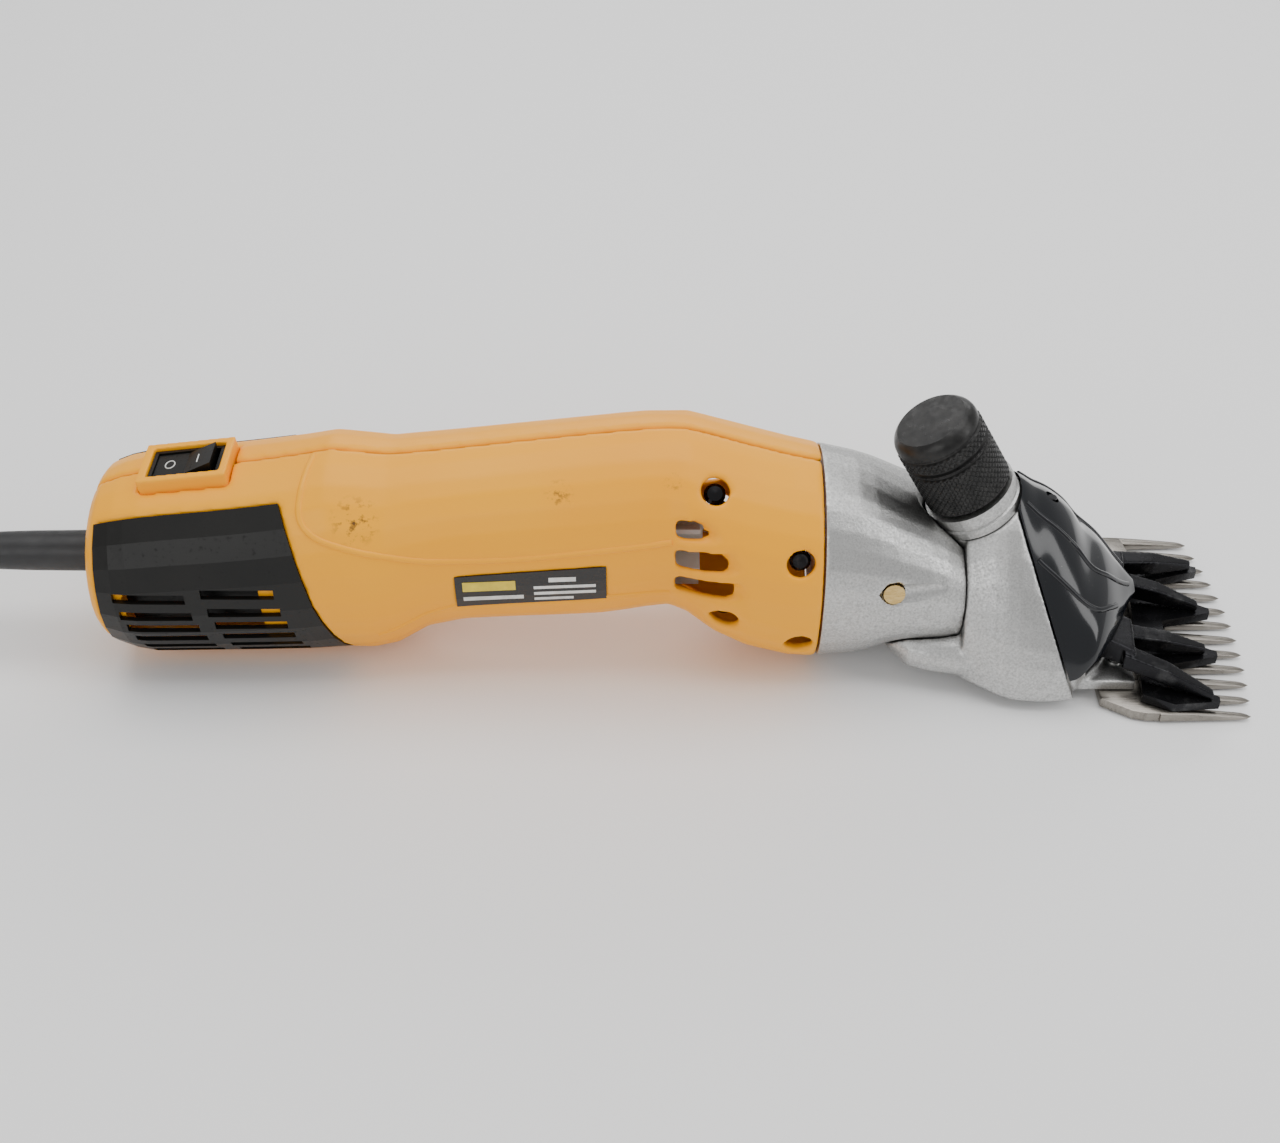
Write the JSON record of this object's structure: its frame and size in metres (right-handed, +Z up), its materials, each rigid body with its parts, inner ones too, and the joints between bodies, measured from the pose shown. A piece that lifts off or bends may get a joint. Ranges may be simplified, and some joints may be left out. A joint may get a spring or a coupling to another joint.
{
  "type": "electric sheep shears",
  "caption": "Mains powered sheep shearing handpiece: two piece housing, gear housing, cast head, tension knob, swinging cutter on a toothed comb, and a cord with a plug.",
  "frame": {"origin": "on the resting surface, under the middle of the shears without their cord", "axes": "+X from the cord to the comb tips, +Z up through the switch side, +Y across the comb"},
  "size_m": [0.5725, 0.108, 0.0815],
  "materials": {
    "yellow_plastic": "satin moulded",
    "black_plastic": "fine grained",
    "gloss_black": "gloss",
    "black_rubber": "matte",
    "label_black": "printed foil",
    "cast_aluminium": "as cast, tumbled",
    "knob_black": "anodised, knurled",
    "ground_steel": "ground",
    "dark_steel": "dark",
    "bright_steel": "machined",
    "brass": "satin",
    "copper": "enamelled wire and copper segments",
    "carbon": "matte",
    "white_nylon": "satin"
  },
  "bodies": {
    "handpiece": {"housing_right": "yellow_plastic", "housing_left": "yellow_plastic", "switch_frame": "yellow_plastic", "grille_right": "black_plastic", "grille_left": "black_plastic", "label_plate": "label_black", "switch_body": "black_plastic", "stator": "dark_steel", "field_coil_rear": "copper", "field_coil_front": "copper", "rear_bearing": "bright_steel", "front_bearing": "bright_steel", "brush_right": "carbon", "brush_left": "carbon", "brush_holder_right": "brass", "brush_holder_left": "brass", "gear_housing": "cast_aluminium", "set_screw": "brass", "gear_plate": "cast_aluminium", "crank_bearing": "bright_steel", "head_casting": "cast_aluminium", "tension_collar": "cast_aluminium", "hood": "gloss_black", "hood_screw": "dark_steel", "comb": "ground_steel", "comb_screw_right": "bright_steel", "comb_screw_left": "bright_steel", "fulcrum_post": "bright_steel", "strain_relief": "black_rubber", "cord": "black_rubber", "cord_coil": "black_rubber", "plug_body": "black_rubber", "plug_pin_right": "bright_steel", "plug_pin_left": "bright_steel", "body_screw_upper_right": "dark_steel", "body_screw_lower_right": "dark_steel", "ring_screw_upper_right": "dark_steel", "ring_screw_lower_right": "dark_steel", "body_screw_upper_left": "dark_steel", "body_screw_lower_left": "dark_steel", "ring_screw_upper_left": "dark_steel", "ring_screw_lower_left": "dark_steel"},
    "switch_rocker": {"switch_rocker": "black_plastic"},
    "armature": {"armature_core": "dark_steel", "commutator": "copper", "motor_shaft": "bright_steel", "cooling_fan": "white_nylon", "pinion": "bright_steel"},
    "crank": {"drive_gear": "bright_steel", "crank_shaft": "bright_steel", "crank_roller": "bright_steel"},
    "cutting_fork": {"fork_lever": "bright_steel", "fork_right": "gloss_black", "fork_left": "gloss_black", "cutter": "dark_steel"},
    "tension_knob": {"tension_knob": "knob_black", "tension_pin": "bright_steel"}
  },
  "joints": [
    {"name": "rocker_switch", "type": "hinge", "parent": "handpiece", "child": "switch_rocker", "pos_m": [-0.13653, 0, 0.06026], "axis": [0, 1, 0], "range_deg": [0, 20]},
    {"name": "motor_spin", "type": "hinge", "parent": "handpiece", "child": "armature", "pos_m": [0, 0, 0.04011], "axis": [1, 0, 0], "continuous": true},
    {"name": "crank_spin", "type": "hinge", "parent": "handpiece", "child": "crank", "pos_m": [0, 0, 0.02253], "axis": [1, 0, 0], "continuous": true},
    {"name": "fork_swing", "type": "hinge", "parent": "handpiece", "child": "cutting_fork", "pos_m": [0.088, 0, 0.015], "axis": [0, 0, 1], "range_deg": [0, 14.6]},
    {"name": "tension_turn", "type": "hinge", "parent": "handpiece", "child": "tension_knob", "pos_m": [0.08325, 0, 0.0458], "axis": [-0.5, 0, 0.866], "range_deg": [0, 360]}
  ],
  "couplings": [
    {"joint": "crank_spin", "follows": "motor_spin", "ratio": -0.27778}
  ]
}
